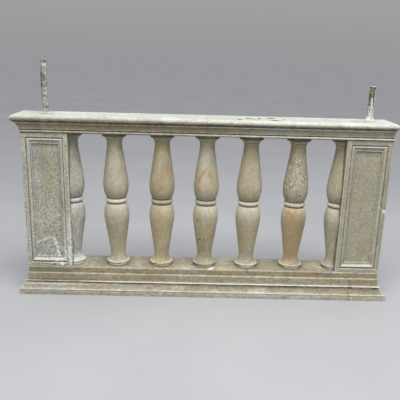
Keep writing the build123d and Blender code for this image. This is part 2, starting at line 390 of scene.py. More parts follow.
def lathe(outline, edge, hollow, place, segments, inset=0):
    """A closed turned mesh about a vertical axis at X = place.

    With an inset, only the side beyond that distance from the axis is kept, on the side that
    its sign says, and closed with a flat face.
    """
    radius, level = outline.T[:, :, None]
    if inset:
        span = np.arccos(abs(inset) / radius[:, 0])
        angle = (0 if inset > 0 else math.pi) + np.linspace(-span, span, segments + 1, axis=1)
    else:
        angle = np.tile(2 * math.pi * np.arange(segments) / segments, (len(radius), 1))
    total, count = angle.shape
    turned = np.stack([
        place + radius * np.cos(angle), radius * np.sin(angle), np.tile(level, count)
    ], 2).reshape(-1, 3)
    ends = [(place + 2 * inset, 0, level[k, 0]) for k in (0, -1)]
    edges, hollows = (np.append(np.repeat(values, count), (0, 0)) for values in (edge, hollow))
    index = np.arange(count)
    following = (index + 1) % count
    row = count * np.arange(total - 1)[:, None]
    quads = np.stack([row + index, row + following, row + following + count, row + index + count], 2)
    last, centre = (total - 1) * count, total * count
    foot = np.stack([following, index, np.full(count, centre)], 1)
    head = np.stack([last + index, last + following, np.full(count, centre + 1)], 1)
    faces = [quads.reshape(-1, 4), np.concatenate([foot, head])]
    return Shape(np.concatenate([turned, ends]), faces, edges, hollows)


# ---- materials -------------------------------------------------------------------------------
class Nodes:
    """A material's node tree, with short ways to add to it and a colour that is painted over."""

    def __init__(self, name, colour):
        self.colour = colour
        self.material = bpy.data.materials.new(name)
        self.material.use_nodes = True
        self.tree = self.material.node_tree
        self.tree.nodes.clear()
        place = self.add("TexCoord").outputs["Object"]
        shift = self.add("Attribute", attribute_name="piece").outputs["Vector"]
        self.place = self.add("VectorMath", {0: place, 1: shift}, operation="ADD").outputs[0]

    def add(self, kind, inputs=None, **settings):
        node = self.tree.nodes.new("ShaderNode" + kind)
        for key, value in settings.items():
            setattr(node, key, value)
        for key, value in (inputs or {}).items():
            if isinstance(value, bpy.types.NodeSocket):
                self.tree.links.new(value, node.inputs[key])
            else:
                node.inputs[key].default_value = value
        return node

    def noise(self, size, detail=4, rough=0.55, stretch=(1, 1, 1), shift=0.0, warp=0.0):
        """Noise from 0 to 1 whose features are about size metres across."""
        location = (shift, shift * 0.7, -shift)
        scaled = self.add("Mapping", {"Vector": self.place, "Scale": stretch, "Location": location})
        return self.add("TexNoise", {
            "Vector": scaled.outputs[0], "Scale": 1 / size, "Detail": detail, "Roughness": rough,
            "Distortion": warp,
        }).outputs["Fac"]

    def limit(self, value, low, high, new_low=0.0, new_high=1.0):
        """A smooth step of a value between two thresholds."""
        return self.add("MapRange", {
            "Value": value, "From Min": low, "From Max": high, "To Min": new_low, "To Max": new_high,
        }, interpolation_type="SMOOTHSTEP").outputs[0]

    def line(self, value, gain, offset):
        """A value times gain, plus offset."""
        return self.add("Math", {0: value, 1: gain, 2: offset}, operation="MULTIPLY_ADD").outputs[0]

    def math(self, kind, a, b):
        return self.add("Math", {0: a, 1: b}, operation=kind).outputs[0]

    def product(self, *values):
        total = values[0]
        for value in values[1:]:
            total = self.math("MULTIPLY", total, value)
        return total

    def layer(self, name):
        return self.add("Attribute", attribute_name=name).outputs["Fac"]

    def cover(self, name, size, shift):
        """A layer's cover, for stains and painted light: ragged where it is weak, whole where it is strong.
        """
        ragged = self.line(self.noise(size, 5, 0.9, shift=shift), 2.0, -1.0)
        return self.limit(self.math("ADD", self.layer(name), ragged), 0.42, 0.72)

    def paint(self, share, colour, blend="MIX"):
        """Lay another colour over the colour so far."""
        self.colour = self.add(
            "Mix", {0: share, 6: self.colour, 7: colour},
            data_type="RGBA", blend_type=blend, clamp_factor=True,
        ).outputs[2]

    def finish(self, roughness, height, depth, **fixed):
        bump = self.add("Bump", {"Height": height, "Distance": depth, "Strength": 1.0}).outputs[0]
        shader = self.add("BsdfPrincipled", {
            "Base Color": self.colour, "Roughness": roughness, "Normal": bump, **fixed,
        })
        output = self.add("OutputMaterial")
        self.tree.links.new(shader.outputs[0], output.inputs[0])
        return self.material


def rgb(red, green, blue):
    """A colour as a screen shows it, 0 to 255, as the linear colour that Blender needs."""
    def linear(value):
        value = value / 255
        return value / 12.92 if value <= 0.04045 else ((value + 0.055) / 1.055) ** 2.4

    return (linear(red), linear(green), linear(blue), 1)


OCHRE = rgb(178, 138, 82)
# Soot and dirt; also the colour of painted shade in hollows, under overhangs and on downward faces.
SOOT_AND_SHADE = rgb(66, 60, 48)
# Lime and pale worn stone; also the colour of painted highlights from the pale layer.
LIME_AND_HIGHLIGHT = rgb(240, 238, 228)
MOSS = rgb(122, 124, 98)
WARMER = (1.10, 1.0, 0.80, 1)
COOLER = (0.93, 1.0, 1.12, 1)


def stone(name, tone, light, dark, grain, contrast=1.0, streak=(1, 1, 1), hues=5.0, lime=0.3, ochre=0.1):
    """Weathered sandstone: mottled and gritty, with lime, ochre, moss and dirt where they gather, and
    painted light and shade: highlights and shadows from its shade, pale and dark layers, and
    painted shade in hollows and on faces that face down.
    """
    n = Nodes(name, rgb(*tone))
    mottle = n.noise(0.10, 6, 0.85, stretch=streak, warp=0.3)
    grit = n.noise(0.012, 4, 1.0, stretch=streak, shift=7.0)
    hue = n.noise(0.05, 5, 0.8, stretch=streak, shift=17.0, warp=0.3)

    # The shade layer and a mottle: the stone's own tone, and painted light and shade towards its light and
    # dark colours.
    shade = n.math("ADD", n.layer("shade"), n.line(mottle, 1.4 * contrast, -0.7 * contrast))
    n.paint(shade, rgb(*light))
    n.paint(n.product(shade, -1.0), rgb(*dark))
    warm = n.math("ADD", n.layer("warm"), n.line(hue, hues, -hues / 2))
    n.paint(warm, WARMER, "MULTIPLY")
    n.paint(n.product(warm, -1.0), COOLER, "MULTIPLY")
    strength = n.line(n.layer("grit"), 1.0, 1.0)
    value = n.line(n.math("SUBTRACT", grit, 0.5), n.product(strength, grain), 1.0)
    n.paint(1.0, value, "MULTIPLY")

    spread = n.limit(n.noise(0.10, 6, 0.75, shift=19.0, warp=0.8), 0.55, 0.70, 0.0, ochre)
    patch = n.product(n.layer("ochre"), n.limit(n.noise(0.03, 5, 0.8, shift=23.0), 0.35, 0.6, 0.35, 1))
    n.paint(n.math("MAXIMUM", spread, patch), OCHRE)
    n.paint(n.product(n.layer("green"), n.limit(mottle, 0.35, 0.6, 0.6, 1)), MOSS)
    pits = n.math("SUBTRACT", n.noise(0.007, 3, 0.7, shift=59.0), n.line(n.layer("grit"), 0.09, 0.0))
    pits = n.limit(pits, 0.40, 0.30)
    n.paint(n.product(pits, n.line(n.layer("grit"), 0.55, 0.25)), SOOT_AND_SHADE)
    # Lime spots and the pale layer: lime and worn stone, and painted highlights on drips and mouldings.
    spots = n.limit(n.noise(0.012, 4, 0.8, shift=31.0), 0.60, 0.68)
    spread = n.product(spots, n.limit(n.noise(0.10, 3, 0.6, shift=37.0), 0.45, 0.65, 0.0, lime))
    n.paint(n.math("MAXIMUM", spread, n.cover("pale", 0.010, 41.0)), LIME_AND_HIGHLIGHT)
    # The dark layer: dirt, and painted shadows in grooves, at feet and under overhangs.
    n.paint(n.cover("dark", 0.018, 43.0), SOOT_AND_SHADE)
    rubbed = n.limit(n.noise(0.03, 5, 0.8, shift=47.0), 0.38, 0.58, 0.1, 0.6)
    n.paint(n.product(n.layer("edge"), rubbed), LIME_AND_HIGHLIGHT)
    # Dirt with painted shade in the hollows and inner corners.
    hollow_dirt_and_shade = n.limit(n.noise(0.04, 4, 0.6, shift=53.0), 0.2, 0.6, 0.5, 0.7)
    n.paint(n.product(n.layer("hollow"), hollow_dirt_and_shade), SOOT_AND_SHADE)
    # Painted shade on the faces that face down.
    n.paint(n.limit(n.layer("up"), -0.15, -0.9, 0.0, 0.45), SOOT_AND_SHADE)

    relief = n.math("ADD", n.line(mottle, 2.0, 0.0), n.math("SUBTRACT", grit, n.product(pits, 0.5)))
    rough = n.limit(mottle, 0.3, 0.7, 0.78, 0.95)
    return n.finish(rough, relief, 1.2 * MM, **{"Specular IOR Level": 0.3})


def rust(name):
    """Old iron pipe: scaly grey-brown rust with pale mortar smears."""
    n = Nodes(name, rgb(120, 117, 110))
    bands = n.noise(0.02, 5, 0.8, stretch=(0.6, 0.6, 2.2), warp=1.0)
    small = n.noise(0.006, 4, 0.8, shift=5.0)
    n.paint(n.limit(bands, 0.42, 0.58), rgb(190, 189, 184))
    n.paint(n.limit(small, 0.52, 0.62, 0, 0.8), rgb(58, 50, 42))
    brown = n.limit(n.noise(0.03, 4, 0.7, shift=9.0), 0.55, 0.7, 0, 0.4)
    n.paint(n.math("ADD", n.layer("ochre"), brown), rgb(122, 102, 66))
    smear = n.limit(n.noise(0.014, 5, 0.85, shift=13.0, stretch=(1, 1, 0.4)), 0.54, 0.6, 0, 0.8)
    n.paint(n.math("MAXIMUM", smear, n.cover("pale", 0.008, 41.0)), rgb(228, 228, 220))
    n.paint(n.cover("dark", 0.010, 43.0), rgb(62, 54, 40))
    height = n.math("ADD", bands, small)
    return n.finish(0.85, height, 1.5 * MM, **{"Metallic": 0.0, "Specular IOR Level": 0.3})


def mortar(name):
    """Rough pale mortar."""
    n = Nodes(name, rgb(182, 180, 168))
    broad = n.noise(0.02, 5, 0.8)
    small = n.noise(0.005, 4, 0.8, shift=5.0)
    n.paint(n.limit(broad, 0.35, 0.6), rgb(228, 226, 216))
    n.paint(n.limit(small, 0.56, 0.66, 0, 0.6), rgb(136, 130, 116))
    n.paint(n.cover("pale", 0.008, 41.0), LIME_AND_HIGHLIGHT)
    n.paint(n.cover("dark", 0.010, 43.0), SOOT_AND_SHADE)
    return n.finish(0.95, n.math("ADD", broad, small), 1.5 * MM, **{"Specular IOR Level": 0.2})


UPRIGHT = (1.2, 1.2, 0.6)
BUFF = dict(tone=(180, 171, 145), light=(232, 227, 210), dark=(100, 90, 66))

base_stone = stone(
    "base_stone", tone=(170, 160, 134), light=(250, 245, 228), dark=(106, 96, 74),
    grain=2.9, streak=(0.5, 1, 1), ochre=0.35, lime=0.5,
)
pier_stone = stone(
    "pier_stone", tone=(172, 167, 147), light=(216, 213, 200), dark=(118, 110, 88), grain=1.8, hues=4.0,
)
baluster_stone = stone("baluster_stone", **BUFF, grain=1.5, streak=UPRIGHT)
pitted_baluster_stone = stone("pitted_baluster_stone", **BUFF, grain=1.9)
grey_baluster_stone = stone(
    "grey_baluster_stone", tone=(186, 182, 166), light=(236, 234, 224), dark=(104, 98, 82),
    grain=1.7, streak=UPRIGHT, ochre=0.05,
)
coping_stone = stone(
    "coping_stone", tone=(197, 198, 190), light=(242, 244, 242), dark=(138, 128, 102),
    contrast=1.1, grain=2.0, streak=(0.4, 1, 1), hues=3.0, ochre=0.05,
)
rusty_iron = rust("rusty_iron")
pale_mortar = mortar("pale_mortar")


# ---- courses of moulded stones ---------------------------------------------------------------
joint_rounding, coping_joint_rounding = 1 * MM, 0.4 * MM
end_rounding, course_rounding = 1.5 * MM, 1.2 * MM
column_spacing, course_spacing = 5.5 * MM, 7 * MM
return_width = 3 * MM
fewest_columns = 12


def course_stone(outline, low, high, joint):
    """One stone of a moulded course between two joints; None means the moulded end.

    A point of the outline is a reach and a level, and where the two ends differ from the
    front and the back, the reach at the left and at the right end.
    """
    inward = np.array([return_width, 0, return_width, return_width])[:len(outline[0])]
    returned = [outline[0] - inward, *outline, outline[-1] - inward]
    dense, edge, hollow = refine(returned, course_rounding, course_spacing)
    rings = []
    for reach, level, *ends in dense:
        left, right = ends or (reach, reach)
        rings.append((
            -outer_half - left if low is None else low,
            outer_half + right if high is None else high,
            -half_depth - reach,
            half_depth + reach,
            level,
        ))
    length = (outer_half if high is None else high) - (-outer_half if low is None else low)
    counts = (max(fewest_columns, round(length / column_spacing)), round(2 * half_depth / column_spacing))
    corner = [end_rounding if place is None else joint for place in (low, high)]
    return stack(rings, edge, hollow, counts, corner, worn=(low is None, high is None))


def lay_course(stones, seed, chips, tone, material, slot, joint):
    """Build the stones of a course; each has an outline, two joints and its own marks."""
    for number, (name, outline, low, high, add_marks) in enumerate(stones):
        shape = course_stone(outline, low, high, joint)
        shape.weather(seed, number, chips=chips)
        tone(shape)
        add_marks(shape)
        shape.build("stone_" + name, material, slot, name)


# ---- base courses ----------------------------------------------------------------------------
block_height, block_reach = 23 * MM, 41.5 * MM
bead_top, bead_reach = 29 * MM, 39.5 * MM
flare_foot_reach = 36 * MM
footing_fillet_height, footing_fillet_reach = 6 * MM, 14 * MM
quirk_height, quirk_reach = 4 * MM, 9 * MM
drip_height, drip_reach = 6 * MM, 14 * MM
lower_band_height, lower_band_reach = 41 * MM, 5.5 * MM
upper_band_reach = 1 * MM
footing_fillet = plinth_level - footing_fillet_height
drip = plinth_level + quirk_height
drip_top = drip + drip_height
band_top = drip_top + lower_band_height


def footing_outline():
    rise = footing_fillet - bead_top
    flare = [
        (flare_foot_reach - rise * math.sin(a), footing_fillet - rise * math.cos(a))
        for a in np.radians(np.linspace(0, 90, 9))
    ]
    return [
        *uprights((block_reach, 0, block_height), (bead_reach, block_height + HAIR, bead_top)),
        *flare,
        (footing_fillet_reach, plinth_level),
    ]


def plinth_outline():
    return uprights(
        (quirk_reach, plinth_level, drip), (drip_reach, drip, drip_top),
        (lower_band_reach, drip_top, band_top), (upper_band_reach, band_top, base_level),
    )


def tone_base(shape):
    """Painted highlights on the bead, the drip, the band's top edge and the ledge's arris; painted shade
    in the quirk and the groove, with some dirt, and a painted shadow round each baluster's foot; the
    ledge lighter and cooler, and the left end's drip darker and its fillet lighter.
    """
    shape.levels("warm", [
        (0, -0.2), (block_height, -0.2), (bead_top, -0.6), (footing_fillet, -0.6), (drip, 0),
    ])
    # Painted light and shade up the base: dark in the quirk and the groove, highlights on the bead, the drip
    # and the band's top edge.
    shape.levels("shade", [
        (0, 0.1), (block_height - HAIR, 0.2), (block_height, -0.9), (block_height + HAIR, -0.9),
        (bead_top - 2 * MM, 0.5), (bead_top, 0.5), (bead_top + 2 * MM, 0.05), (footing_fillet, 0.0),
        (footing_fillet + HAIR, -1), (drip - HAIR, -1.2), (drip, 1.1), (drip_top + 1 * MM, 1.1),
        (drip_top + 2 * MM, -0.1), (band_top - 3 * MM, -0.1), (band_top - 2 * MM, 0.6), (band_top, 0.6),
        (band_top + HAIR, -0.3),
    ])
    x, y, z = shape.points.T
    stains_and_shade = shape.stains_and_shade
    # Painted highlight along the front arris of the ledge.
    arris = (z > base_level - 4 * MM) & (np.abs(y) > half_depth - 1 * MM) & (shape.normals()[:, 2] < 0.8)
    stains_and_shade["shade"] += 0.9 * arris
    # Painted shade, with some dirt, in the groove under the drip, more towards the right.
    in_groove = (z > footing_fillet + HAIR) & (z < drip - HAIR)
    stains_and_shade["dark"] += in_groove * np.interp(x, (-0.6, 0.3), (0, 0.6))
    # Painted highlight on the drip, weaker at the left end.
    on_drip = (z > drip - HAIR) & (z < drip_top + HAIR)
    stains_and_shade["pale"] += on_drip * np.interp(x, (-0.6, -0.55, -0.1, 0.4), (0, 0.45, 0.6, 0.7))
    ledge = z > base_level - 1 * MM
    stains_and_shade["shade"] += ledge * np.interp(x, (-0.5, -0.2, 0.05, 0.3, 0.6), (0.3, 0.4, 0.6, 0.3, 0.4))
    stains_and_shade["warm"] -= 0.9 * ledge
    left_end = (-outer_half + 0.1, -half_depth)
    shape.stain("shade", (*left_end, drip + drip_height / 2), (0.3, 0.1, drip_height), -1.3)
    shape.stain("shade", (*left_end, footing_fillet), (0.3, 0.1, footing_fillet_height), 1.3)
    foot_shadow = (72 * MM, 72 * MM, 8 * MM)
    for name in whole_balusters:
        shape.stain("shade", (middle_x(name), 0, base_level), foot_shadow, -0.9)


def mark_footing_left(shape):
    """Two pale rings, a chip out of the block's arris, and pale, mossy and ochre patches."""
    shape.marks("green", (-850, 30, 260, 80, 0.3))
    shape.marks("warm", (-820, 40, 400, 80, -0.6), (250, 54, 360, 16, 0.6), (287, 40, 70, 50, -0.8))
    shape.marks(
        "shade", (-760, 10, 300, 20, -0.25), (-250, 42, 400, 24, 0.2), (250, 54, 360, 16, -0.35),
        (287, 40, 70, 50, 0.2),
    )
    for radius in (13, 26):
        turn = np.radians(np.arange(0, 361, 30))
        ring = [(287 + radius * math.cos(a), 40 + 0.8 * radius * math.sin(a)) for a in turn]
        shape.trace("pale", ring, 4, 0.4)
    shape.bite((477 * MM, -half_depth - block_reach, block_height), 11 * MM, 6 * MM, 31)
    shape.marks("pale", (-788, 41, 60, 30, 0.4), (494, 52, 30, 10, 0.5), (738, 50, 34, 50, 0.4))
    shape.marks(
        "ochre", (-560, 48, 160, 20, 0.3), (-265, 45, 120, 40, 0.3), (-60, 40, 90, 30, 0.25),
        (700, 48, 90, 30, 0.3),
    )


def mark_footing_right(shape):
    """The joint shows dark, and a spot of lime lies beside it."""
    shape.marks("pale", (760, 16, 34, 26, 0.8))
    shape.marks("ochre", (785, 45, 50, 30, 0.4))
    shape.marks("shade", (860, 45, 140, 30, -0.3))
    shape.trace("dark", [(752, 70), (750, 0)], 3, 0.6)


def mark_plinth_left(shape):
    """Moss at the left end."""
    shape.marks("green", (-800, 125, 280, 70, 0.6))
    shape.marks("shade", (-800, 125, 280, 70, -0.15))


def mark_plinth_middle(shape):
    """A short crack, lime dropped on the ledge and a chip out of its arris."""
    shape.trace("dark", [(-296, 138), (-304, 124), (-299, 110), (-284, 100)], 3, 0.6, 1)
    shape.trace("pale", [(-303, 132), (-309, 122), (-307, 98)], 3, 0.5)
    for x, y, strength in ((30, -78, 0.75), (42, -57, 0.6), (56, -34, 0.3)):
        shape.stain("pale", (x * MM, y * MM, base_level), (17 * MM, 16 * MM, 8 * MM), strength)
    shape.bite((46 * MM, -half_depth, base_level), 8 * MM, 4 * MM, 33)
    shape.marks(
        "ochre", (-275, 110, 46, 70, 0.6), (540, 128, 80, 18, 0.5), (-420, 105, 140, 16, 0.35),
        (150, 130, 120, 14, 0.3),
    )
    shape.marks("green", (-240, 100, 160, 40, 0.4))
    shape.marks("dark", (562, 130, 30, 14, 0.45))
    shape.marks("shade", (600, 130, 180, 24, -0.3))
    shape.marks("pale", (-530, 130, 60, 10, 0.3))


def mark_plinth_right(shape):
    """Chips out of the ledge and the drip, with pale stone round them."""
    shape.bite((777 * MM, -half_depth, base_level), 9 * MM, 4 * MM, 35)
    shape.marks("pale", (777, 140, 20, 8, 0.7), (768, 120, 14, 8, 0.5), (766, 93, 22, 12, 0.6))
    shape.marks("ochre", (820, 84, 110, 30, 0.35), (862, 128, 50, 30, 0.5))
    shape.marks("shade", (780, 88, 240, 30, -0.25))
    shape.marks("dark", (835, 84, 60, 20, 0.35))
    shape.bite((758 * MM, -half_depth - drip_reach, 64 * MM), 12 * MM, 3 * MM, 37)
    shape.marks("pale", (757, 66, 34, 12, 1.2))


footing_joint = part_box("footing_left")[1].x
left_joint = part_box("plinth_left")[1].x
right_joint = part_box("plinth_right")[0].x
BASE_STONES = (
    ("footing_left", footing_outline(), None, footing_joint, mark_footing_left),
    ("footing_right", footing_outline(), footing_joint, None, mark_footing_right),
    ("plinth_left", plinth_outline(), None, left_joint, mark_plinth_left),
    ("plinth_middle", plinth_outline(), left_joint, right_joint, mark_plinth_middle),
    ("plinth_right", plinth_outline(), right_joint, None, mark_plinth_right),
)
lay_course(
    BASE_STONES, seed=100, chips=2.2 * MM, tone=tone_base, material=base_stone,
    slot="base_stone", joint=joint_rounding,
)


# ---- piers -----------------------------------------------------------------------------------
stile_width, rail_height = 22.5 * MM, 22 * MM
stile_moulding, rail_moulding = 29 * MM, 36 * MM
pier_spacing, pier_rounding = 5 * MM, 0.3 * MM
# The panel's moulding, as the share of it passed and the depth there in millimetres.
PANEL = ((0, 0), (0, 5), (0.12, 5), (0.26, 0.6), (0.72, 8), (0.77, 5.5), (0.83, 5.5), (0.88, 8), (1, 15))
# Its flat steps: a depth, how far the shade reaches to either side of it, and the shade, which is
# painted light and shade: a highlight on the bead, shade deeper in.
PANEL_TONES = ((5.5, 0.6, 0.5), (12, 1.5, -0.6))
# The painted light and shade of its top rail, the painted shadows under its crest and lip, and the
# painted light and shade of its foot rail, by the share passed.
TOP_RAIL = (
    (0.0, 0), (0.03, -1.2), (0.12, -1.2), (0.20, 0.8), (0.30, 0.8), (0.36, -1.3), (0.52, -1.3), (0.62, -0.2),
    (0.72, 0), (0.76, 0.6), (0.84, 0.6), (0.88, -1), (0.99, -1), (1.0, 0),
)
TOP_RAIL_SHADOWS = (
    (0, 0), (0.03, 0.4), (0.12, 0.4), (0.18, 0), (0.33, 0), (0.38, 0.55), (0.50, 0.45), (0.56, 0),
    (0.86, 0), (0.90, 0.7), (0.98, 0.7), (1, 0),
)
FOOT_RAIL = (
    (-0.12, 0), (-0.10, 1), (-0.02, 1), (0.0, -0.9), (0.10, -0.9), (0.16, 1), (0.44, 1), (0.50, 0.2),
    (0.56, 0.2), (0.62, 1), (0.74, 1), (0.82, -0.2), (1.0, 0),
)


def pier(low, high):
    """A panelled pier as one run of rectangles, from the front panel's field to the back one's."""
    outline = [
        (stile_width + share * stile_moulding, depth * MM, rail_height + share * rail_moulding)
        for share, depth in reversed(PANEL)
    ]
    outline.append((0, 0, 0))
    front = [(-inset, -half_depth + depth, level) for inset, depth, level in outline]
    back = [(-inset, half_depth - depth, level) for inset, depth, level in reversed(outline)]
    dense, edge, hollow = refine(front + back, rounding=1.5 * MM, spacing=6 * MM)
    rings = [
        (low.x - inset, high.x + inset, low.z + level, high.z - level, depth)
        for inset, depth, level in dense
    ]
    counts = (round((high.x - low.x) / pier_spacing), round((high.z - low.z) / pier_spacing))
    return stack(rings, edge, hollow, counts, (pier_rounding, pier_rounding), order=(0, 2, 1))


def tone_pier(shape, low, high):
    """Painted highlights on the panel's crest and bead, painted shade in its grooves and on the return
    by the baluster.
    """
    x, y, z = shape.points.T
    stains_and_shade = shape.stains_and_shade
    from_side = (np.minimum(x - low.x, high.x - x) - stile_width) / stile_moulding

    def rail(distance, tones, pale):
        """Paint one rail's light and shade; the share passed is 1 where a stile's moulding is nearer."""
        share = (distance - rail_height) / rail_moulding
        share = np.where(share < from_side, share, 1)
        tone = np.interp(share, *zip(*tones))
        stains_and_shade["shade"] += tone
        stains_and_shade["pale"] += pale * np.clip(tone, 0, 1)
        return share

    # Painted shadows under the top rail's crest and lip.
    stains_and_shade["dark"] += np.interp(rail(high.z - z, TOP_RAIL, 0.8), *zip(*TOP_RAIL_SHADOWS))
    rail(z - low.z, FOOT_RAIL, np.where(x > 0, 0.65, 0.55))
    # Painted shade on the return beside the half baluster, with some dirt on the left pier.
    inner = (np.abs(x) < inner_half + 1 * MM) & (np.abs(y) < half_depth - 4 * MM)
    stains_and_shade["shade"][inner] -= 0.55
    stains_and_shade["dark"][inner] += 0.2 * (x[inner] < 0)
    for way in (-1, 1):
        for depth, reach, value in PANEL_TONES:
            face = way * (half_depth - depth * MM)
            shape.band("shade", 1, face - reach * MM, face + reach * MM, value, 1 * MM)


def splash(shape, x, z, width, height):
    """Lime or mortar thrown at the front: raised lumps, white on a darker ground."""
    reach = (shape.points - (x * MM, -half_depth, z * MM)) / (width * MM / 2, 40 * MM, height * MM / 2)
    share = np.exp(-(reach**2).sum(1))
    lumps = np.clip(noise(shape.points, 12 * MM, seed=61) + 0.3, 0, 1)
    shape.push(2.5 * MM * share * lumps)
    drops = np.clip(2 * noise(shape.points, 8 * MM, seed=67) - 0.4, 0, 1)
    shape.stains_and_shade["pale"] += share * (0.25 * lumps + 0.6 * drops + 0.05)
    shape.stains_and_shade["grit"] += 0.5 * share
    shape.stains_and_shade["shade"] -= 0.35 * share


def mark_pier_left(shape):
    """The roughest stone: pale and gritty low down, with lime splashed over its foot."""
    # Lighter all up, with painted light on the top rail in the coping's shadow.
    shape.levels("shade", [(0.2, 0.25), (0.5, 0.3), (0.70, 0.15), (0.79, 0.35)])
    shape.levels("warm", [(0.2, -0.6), (0.7, -0.2)])
    shape.levels("pale", [(0.2, 0.34), (0.42, 0.36), (0.5, 0.15), (0.7, 0.1)])
    shape.levels("grit", [(0.14, 0.9), (0.3, 0.85), (0.45, 0.8), (0.6, 0.6), (0.8, 0.5)])
    shape.levels("dark", [(0.14, 0.08), (0.28, 0.05), (0.45, 0)])
    shape.marks(
        "ochre", (-800, 330, 150, 60, 0.25), (-788, 545, 44, 170, 0.08), (-783, 755, 30, 20, 0.5),
        (-706, 465, 40, 80, 0.6), (-692, 330, 30, 90, 0.5), (-805, 400, 110, 40, 0.35),
    )
    shape.marks(
        "warm", (-788, 545, 70, 220, 0.75), (-838, 710, 40, 120, -1.0), (-825, 560, 40, 160, -0.9),
        (-790, 238, 50, 50, -0.8),
    )
    shape.marks("green", (-780, 600, 70, 160, 0.2), (-802, 700, 50, 110, 0.5))
    shape.marks("dark", (-742, 640, 50, 220, 0.3), (-790, 238, 50, 50, 0.05))
    shape.marks(
        "pale", (-712, 620, 50, 300, 0.25), (-825, 584, 14, 14, 0.5), (-800, 405, 110, 30, 0.12),
        (-697, 300, 60, 230, 0.2),
    )
    shape.marks("shade", (-790, 240, 150, 80, 0.2))
    run = [(-851, 263), (-800, 285), (-766, 290), (-752, 244), (-740, 190), (-722, 150)]
    shape.trace("pale", run, 7, 0.25)
    splash(shape, -738, 205, 50, 130)
    splash(shape, -715, 165, 140, 60)
    splash(shape, -692, 200, 50, 130)
    shape.levels("pale", [(0.14, -0.08), (0.16, -0.08), (0.18, 0)])
    shape.marks("pale", (-790, 170, 200, 36, -0.15))
    shape.trace("pale", [(-679, 150), (-677, 520)], 4, 0.2)
    shape.trace("pale", [(-678, 750), (-677, 822)], 4, 0.25)
    shape.marks("warm", (-840, 150, 160, 60, 1.2))


def mark_pier_right(shape):
    """A chip and scratches by the outer arris, a rubbed inner arris and a stain at the panel's foot."""
    shape.marks("ochre", (817, 255, 60, 70, 0.5))
    shape.marks("dark", (815, 262, 40, 60, 0.15))
    shape.marks("pale", (822, 212, 60, 40, 0.55))
    # A darker strip down the outer stile: painted shade.
    shape.marks("shade", (900, 450, 50, 800, -0.35))
    shape.trace("pale", [(677, 150), (677, 822)], 3, 0.35)
    shape.bite((900 * MM, -half_depth, 472 * MM), 15 * MM, 4 * MM, 41)
    shape.trace("pale", [(862, 496), (880, 483), (898, 468)], 6, 0.65, 1)
    shape.trace("pale", [(885, 275), (868, 260), (850, 240)], 6, 0.55)


PIER_MARKS = {"pier_left": mark_pier_left, "pier_right": mark_pier_right}
for number, (name, add_marks) in enumerate(PIER_MARKS.items()):
    shape = pier(*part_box(name))
    tone_pier(shape, *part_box(name))
    shape.weather(seed=200, number=number, chips=2 * MM)
    add_marks(shape)
    shape.build("stone_" + name, pier_stone, "pier_stone", name)


# ---- balusters -------------------------------------------------------------------------------
half_inset = 4.5 * MM
disc_radius = 60 * MM
ring_radius, ring_half = 56 * MM, 11 * MM
quirk_top, quirk_radius = 15.5 * MM, 48.5 * MM
vase_end_radius = 51 * MM
belly_radius, belly_rise = 64 * MM, 76 * MM
shoulder_height, throat_height = 40 * MM, 22 * MM
neck_radius, neck_offset = 38 * MM, 57.5 * MM
flare_radius = 56 * MM
lower_disc, lower_flare = 17.5 * MM, 35 * MM
rim_height, groove_height, rim_reach = 3 * MM, 2 * MM, 1.2 * MM
contact_height = 3 * MM
upper_disc, upper_flare = 19 * MM, 28.5 * MM
step_drop, step_radius, step_width = 11.5 * MM, 43 * MM, 2.5 * MM
whole_segments, half_segments = 104, 64


def vase_outline():
    """From the ring's middle to the end of the neck, as radius and distance from the ring."""
    neck_start = half_rise - neck_offset
    taper = (belly_radius - neck_radius) / (neck_start - belly_rise - (shoulder_height + throat_height) / 2)
    shoulder = (belly_radius - taper * shoulder_height / 2, belly_rise + shoulder_height)
    throat = (neck_radius + taper * throat_height / 2, neck_start - throat_height)
    belly = (belly_radius, belly_rise)
    lower_side = arc(belly, (vase_end_radius, quirk_top), 12)[::-1]
    return [
        (ring_radius, 0),
        *arc((ring_radius, 0), (quirk_radius, ring_half), 6),
        (quirk_radius, quirk_top),
        *lower_side,
        belly,
        *arc(belly, shoulder, 6),
        *(arc((neck_radius, neck_start), throat, 4)[::-1]),
        (neck_radius, neck_start),
    ]


def foot_outline():
    """The lower disc, with a worn rim and a groove under it, as radius and distance from the ring."""
    start = half_rise - lower_disc
    under = start + rim_height
    face = under + groove_height
    return uprights(
        (disc_radius, start, under), (disc_radius - rim_reach, under, face),
        (disc_radius - HAIR, face, half_rise - contact_height),
    ) + [(disc_radius - HAIR, half_rise)]


def baluster_outline():
    """A whole baluster's outline from its foot up, as radius and level."""
    foot = half_rise - lower_disc
    lower_start = foot - lower_flare
    lower = [
        *vase_outline(),
        (neck_radius, lower_start),
        *arc((neck_radius, lower_start), (flare_radius, foot), 8),
        *foot_outline(),
    ]
    upper_end = half_rise - upper_disc
    upper_start = upper_end - upper_flare
    step = upper_end - step_drop
    upper = [
        *vase_outline(),
        (neck_radius, upper_start),
        *arc((neck_radius, upper_start), (step_radius, step), 5),
        (step_radius + step_width, step),
        *arc((step_radius + step_width, step), (flare_radius, upper_end), 6),
        (disc_radius, upper_end),
        (disc_radius, half_rise),
    ]
    inner = (disc_radius - 5 * MM, half_rise)
    down = [(radius, ring_level - rise) for radius, rise in [*lower, inner]]
    up = [(radius, ring_level + rise) for radius, rise in [*upper, inner]]
    return down[::-1] + up[1:]


